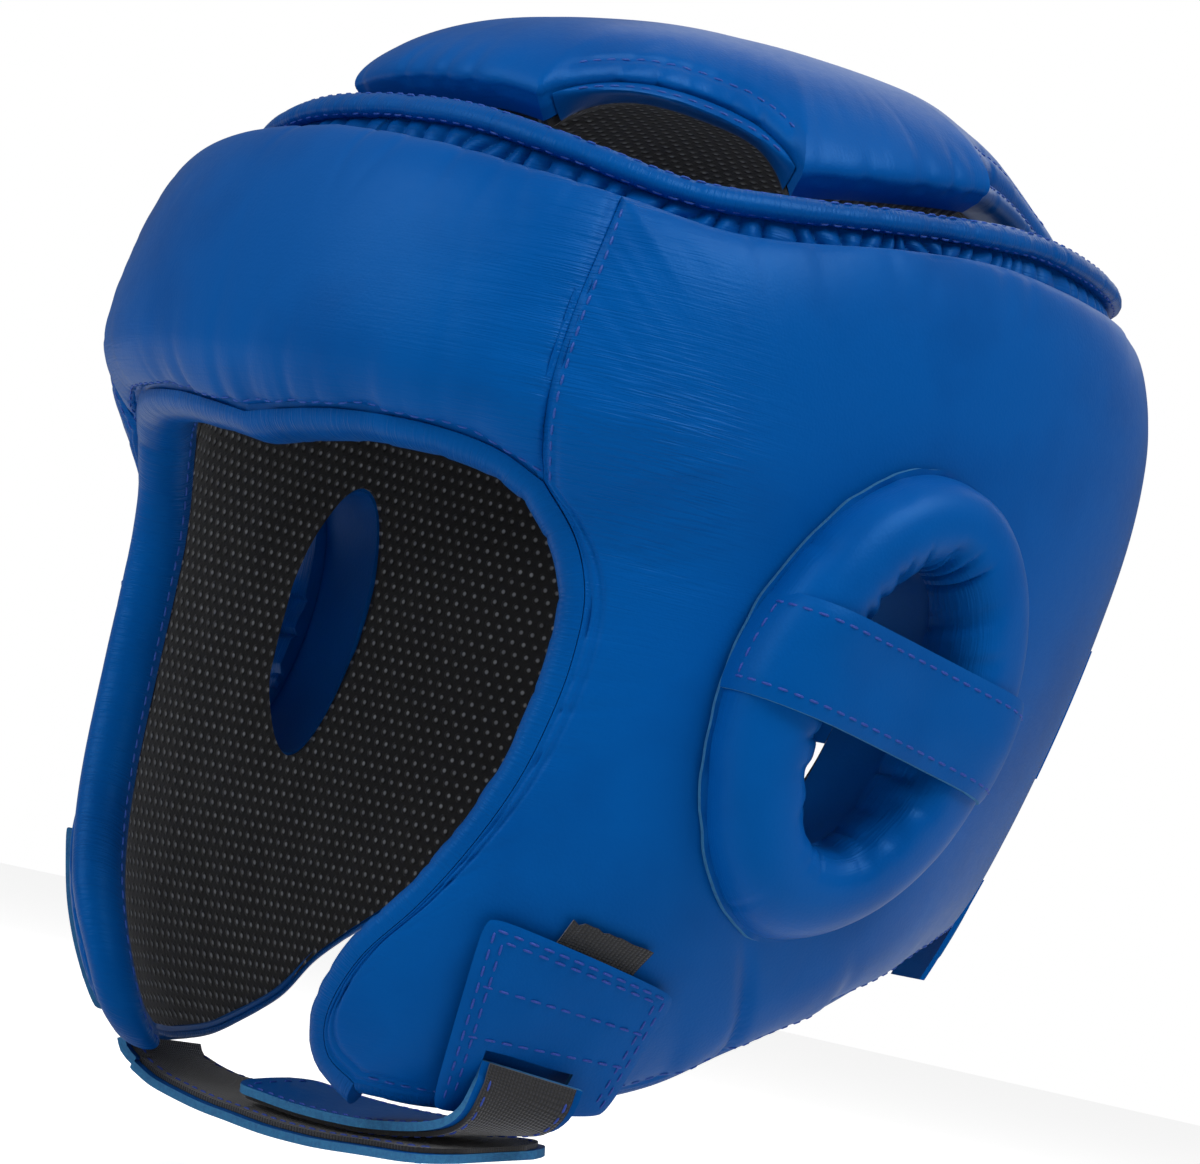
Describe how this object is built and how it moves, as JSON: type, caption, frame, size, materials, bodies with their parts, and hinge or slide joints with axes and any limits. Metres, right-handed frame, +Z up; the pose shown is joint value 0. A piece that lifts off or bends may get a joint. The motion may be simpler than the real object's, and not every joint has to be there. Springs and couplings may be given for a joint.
{
  "type": "boxing headgear",
  "caption": "Open-face boxing headgear with padded leather panels, a vented crown pad, ear rings, hook-and-loop chin straps and rear closure straps.",
  "frame": {"origin": "in the middle of the head cavity, 10 mm above its widest level", "axes": "+X to the wearer's left, -Y to the front (the face opening), +Z up"},
  "size_m": [0.2192, 0.2296, 0.2467],
  "materials": {
    "cover_leather": "satin, fine grain, coated leather",
    "binding_leather": "satin, rolled and stitched",
    "strap_leather": "satin with raw light-blue edges",
    "foam": "matt closed-cell foam",
    "mesh_lining": "matt spacer mesh",
    "hook_tape": "hook tape",
    "loop_tape": "loop tape"
  },
  "bodies": {
    "root": {"forehead_cover": "cover_leather", "forehead_foam": "foam", "forehead_lining": "mesh_lining", "left_side_cover": "cover_leather", "left_side_foam": "foam", "left_side_lining": "mesh_lining", "right_side_cover": "cover_leather", "right_side_foam": "foam", "right_side_lining": "mesh_lining", "face_binding": "binding_leather", "left_lower_welt": "binding_leather", "right_lower_welt": "binding_leather", "crown_gather": "cover_leather", "crown_rim_binding": "binding_leather", "crown_rim_flange": "cover_leather", "crown_pad_cover": "cover_leather", "crown_pad_foam": "foam", "crown_pad_lining": "mesh_lining", "crown_vent_bindings": "binding_leather", "left_ear_ring_cover": "cover_leather", "left_ear_ring_foam": "foam", "left_ear_strap": "cover_leather", "right_ear_ring_cover": "cover_leather", "right_ear_ring_foam": "foam", "right_ear_strap": "cover_leather", "left_cheek_patch": "cover_leather", "right_cheek_patch": "cover_leather", "left_strap_tail": "loop_tape", "rear_loop_patch_upper": "loop_tape", "rear_loop_patch_lower": "loop_tape"},
    "chin_outer": {"chin_strap_outer": "strap_leather", "chin_strap_outer_hook": "hook_tape"},
    "chin_inner": {"chin_strap_inner": "strap_leather", "chin_strap_inner_loop": "loop_tape"},
    "rear_upper": {"rear_strap_upper": "strap_leather", "rear_strap_upper_hook": "hook_tape"},
    "rear_lower": {"rear_strap_lower": "strap_leather", "rear_strap_lower_hook": "hook_tape"}
  },
  "joints": [
    {"name": "chin_outer_peel", "type": "hinge", "parent": "root", "child": "chin_outer", "pos_m": [-0.0505, -0.05, -0.1432], "axis": [-0.42, 0.9075, 0], "range_deg": [0, 100]},
    {"name": "chin_inner_swing", "type": "hinge", "parent": "root", "child": "chin_inner", "pos_m": [0.0668, -0.0546, -0.1315], "axis": [-0.541, -0.841, 0], "range_deg": [0, 60]},
    {"name": "rear_upper_peel", "type": "hinge", "parent": "root", "child": "rear_upper", "pos_m": [-0.0522, 0.0952, -0.033], "axis": [-0.0688, 0.2171, 0.9737], "range_deg": [0, 100]},
    {"name": "rear_lower_peel", "type": "hinge", "parent": "root", "child": "rear_lower", "pos_m": [-0.0469, 0.0807, -0.084], "axis": [-0.1304, 0.3294, 0.9351], "range_deg": [0, 100]}
  ],
  "couplings": [
    {"joint": "chin_inner_swing", "follows": "chin_outer_peel", "ratio": 0.5}
  ]
}
